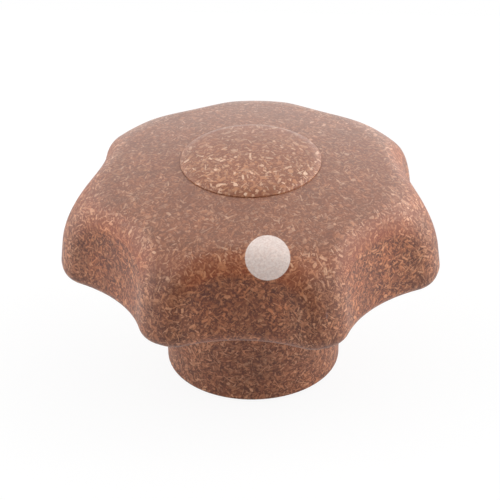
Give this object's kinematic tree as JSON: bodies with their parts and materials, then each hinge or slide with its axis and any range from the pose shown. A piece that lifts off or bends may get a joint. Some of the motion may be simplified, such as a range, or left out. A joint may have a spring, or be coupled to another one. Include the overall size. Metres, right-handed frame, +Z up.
{
  "type": "star knob",
  "caption": "Star knob with a domed, deeply scalloped head, a round hub with a threaded bush below and a clipped-in centre cap, for turning a clamp screw by hand",
  "frame": {"origin": "Centre of the hub's bottom face, on the thread's axis, where the knob meets the work that it clamps", "axes": "+Z runs up the thread's axis and out of the dome; one valley between two lobes faces -Y and one lobe points along +Y; -X is left as seen from -Y"},
  "size_m": [0.0488, 0.0477, 0.0308],
  "materials": {
    "grip_compound": "satin moulded wood-fibre compound, brown with pale fibres",
    "bush_brass": "turned and knurled brass",
    "cap_compound": "satin moulded wood-fibre compound, warmer brown, one pale printed dot"
  },
  "bodies": {
    "root": {"grip": "grip_compound", "threaded_bush": "bush_brass", "centre_cap": "cap_compound"}
  },
  "joints": []
}
